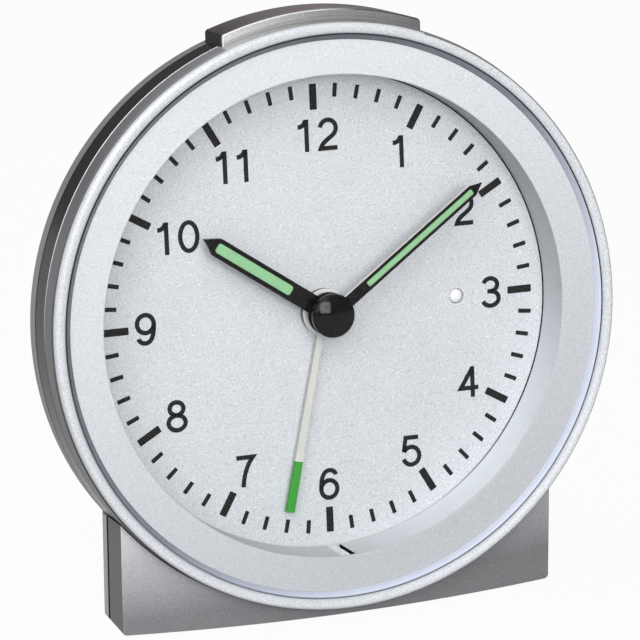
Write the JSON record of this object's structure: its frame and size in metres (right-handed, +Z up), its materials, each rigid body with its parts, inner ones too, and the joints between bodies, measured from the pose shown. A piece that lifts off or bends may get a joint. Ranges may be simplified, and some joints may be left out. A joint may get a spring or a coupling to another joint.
{
  "type": "radio-controlled alarm clock",
  "caption": "Round radio-controlled alarm clock leaning back in a low pedestal, with hour, minute and alarm hands, a top snooze bar and rear controls.",
  "frame": {"origin": "on the table, under the middle of the clock's width and depth", "axes": "+X to the right of someone facing the dial, +Y from the dial towards the back, +Z up"},
  "size_m": [0.1, 0.0444, 0.103],
  "materials": {
    "satin_silver": "satin spray, silver",
    "pale_silver": "satin painted, pale silver",
    "dial_silver": "matt metallic silver with printed black marks",
    "anthracite": "metallic anthracite paint",
    "dark_gloss": "polished dark brown-black",
    "clear": "polished clear",
    "black": "black lacquer",
    "lume": "matt luminous green",
    "alarm_hand": "cream lacquer with a green tip",
    "white": "milky white",
    "nylon": "natural moulded",
    "grey_plastic": "fine moulded",
    "steel": "bright",
    "copper": "enamelled winding wire",
    "board": "green solder mask",
    "ferrite": "sintered, dark grey",
    "brass": "turned",
    "jacket": "plain wrapped sleeve",
    "rubber": "matt"
  },
  "bodies": {
    "case": {"bezel": "satin_silver", "lens": "clear", "dial_ring": "pale_silver", "dial": "dial_silver", "light_guide": "clear", "dial_led": "white", "sensor_dome": "white", "front_housing": "anthracite", "middle_band": "dark_gloss", "rear_cover": "anthracite", "case_screw_1": "steel", "case_screw_2": "steel", "case_screw_3": "steel", "snooze_switch": "black", "snooze_spring_left": "steel", "snooze_spring_right": "steel", "stator": "steel", "coil_core": "steel", "motor_coil": "copper", "movement_plate": "grey_plastic", "movement_case": "grey_plastic", "circuit_board": "board", "antenna_rod": "ferrite", "antenna_coil": "copper", "buzzer": "black", "battery": "jacket", "battery_contact": "steel", "battery_spring": "steel", "base_front": "anthracite", "base_rear": "anthracite", "base_screw_left": "steel", "base_screw_right": "steel", "foot_screw_1": "steel", "foot_screw_2": "steel", "foot_front_left": "rubber", "foot_front_right": "rubber", "foot_rear_left": "rubber", "foot_rear_right": "rubber"},
    "minute_hand": {"minute_wheel": "nylon", "minute_arbor": "steel", "minute_hand": "black", "minute_lume": "lume", "hub_cap": "black"},
    "hour_hand": {"hour_wheel": "nylon", "hour_hand": "black", "hour_lume": "lume"},
    "intermediate_wheel": {"intermediate_wheel": "nylon"},
    "transfer_wheel": {"transfer_wheel": "nylon"},
    "rotor": {"rotor": "grey_plastic"},
    "alarm_hand": {"alarm_wheel": "nylon", "alarm_hand": "alarm_hand"},
    "alarm_knob": {"alarm_arbor": "brass", "alarm_knob": "grey_plastic"},
    "snooze_bar": {"snooze_bar": "dark_gloss"},
    "set_button": {"set_button": "grey_plastic"},
    "receive_button": {"receive_button": "grey_plastic"},
    "reset_button": {"reset_button": "grey_plastic"},
    "alarm_switch": {"alarm_switch": "grey_plastic"},
    "battery_door": {"battery_door": "anthracite"}
  },
  "joints": [
    {"name": "minute_turn", "type": "hinge", "parent": "case", "child": "minute_hand", "pos_m": [0, -0.00734, 0.05085], "axis": [0, 0.9954, -0.0958], "continuous": true},
    {"name": "hour_turn", "type": "hinge", "parent": "case", "child": "hour_hand", "pos_m": [0, -0.00734, 0.05085], "axis": [0, 0.9954, -0.0958], "continuous": true},
    {"name": "intermediate_turn", "type": "hinge", "parent": "case", "child": "intermediate_wheel", "pos_m": [-0.00901, -0.00684, 0.05603], "axis": [0, 0.9954, -0.0958], "continuous": true},
    {"name": "transfer_turn", "type": "hinge", "parent": "case", "child": "transfer_wheel", "pos_m": [0.0052, -0.00648, 0.05982], "axis": [0, 0.9954, -0.0958], "continuous": true},
    {"name": "rotor_turn", "type": "hinge", "parent": "case", "child": "rotor", "pos_m": [0.00161, -0.00553, 0.06964], "axis": [0, 0.9954, -0.0958], "continuous": true},
    {"name": "alarm_knob_turn", "type": "hinge", "parent": "case", "child": "alarm_knob", "pos_m": [0.0112, -0.00734, 0.05085], "axis": [0, 0.9954, -0.0958], "continuous": true},
    {"name": "alarm_turn", "type": "hinge", "parent": "case", "child": "alarm_hand", "pos_m": [0, -0.00734, 0.05085], "axis": [0, 0.9954, -0.0958], "continuous": true},
    {"name": "snooze_press", "type": "slide", "parent": "case", "child": "snooze_bar", "axis": [0, -0.0958, -0.9954], "range_m": [0, 0.0015], "stiffness_N_per_m": 600, "springref_m": -0.001, "deforming": ["snooze_spring_left", "snooze_spring_right"]},
    {"name": "set_press", "type": "slide", "parent": "case", "child": "set_button", "axis": [0, -0.9954, 0.0958], "range_m": [0, 0.0008], "stiffness_N_per_m": 500, "springref_m": -0.0006},
    {"name": "receive_press", "type": "slide", "parent": "case", "child": "receive_button", "axis": [0, -0.9954, 0.0958], "range_m": [0, 0.0008], "stiffness_N_per_m": 500, "springref_m": -0.0006},
    {"name": "reset_press", "type": "slide", "parent": "case", "child": "reset_button", "axis": [0, -0.9954, 0.0958], "range_m": [0, 0.0008], "stiffness_N_per_m": 500, "springref_m": -0.0006},
    {"name": "alarm_switch_slide", "type": "slide", "parent": "case", "child": "alarm_switch", "axis": [-1, 0, 0], "range_m": [0, 0.0032]},
    {"name": "battery_door_slide", "type": "slide", "parent": "case", "child": "battery_door", "axis": [1, 0, 0], "range_m": [0, 0.06]}
  ],
  "couplings": [
    {"joint": "hour_turn", "follows": "minute_turn", "ratio": 0.083333},
    {"joint": "intermediate_turn", "follows": "minute_turn", "ratio": -0.33333},
    {"joint": "transfer_turn", "follows": "minute_turn", "ratio": -5},
    {"joint": "rotor_turn", "follows": "minute_turn", "ratio": 30},
    {"joint": "alarm_turn", "follows": "alarm_knob_turn", "ratio": -0.33333}
  ]
}
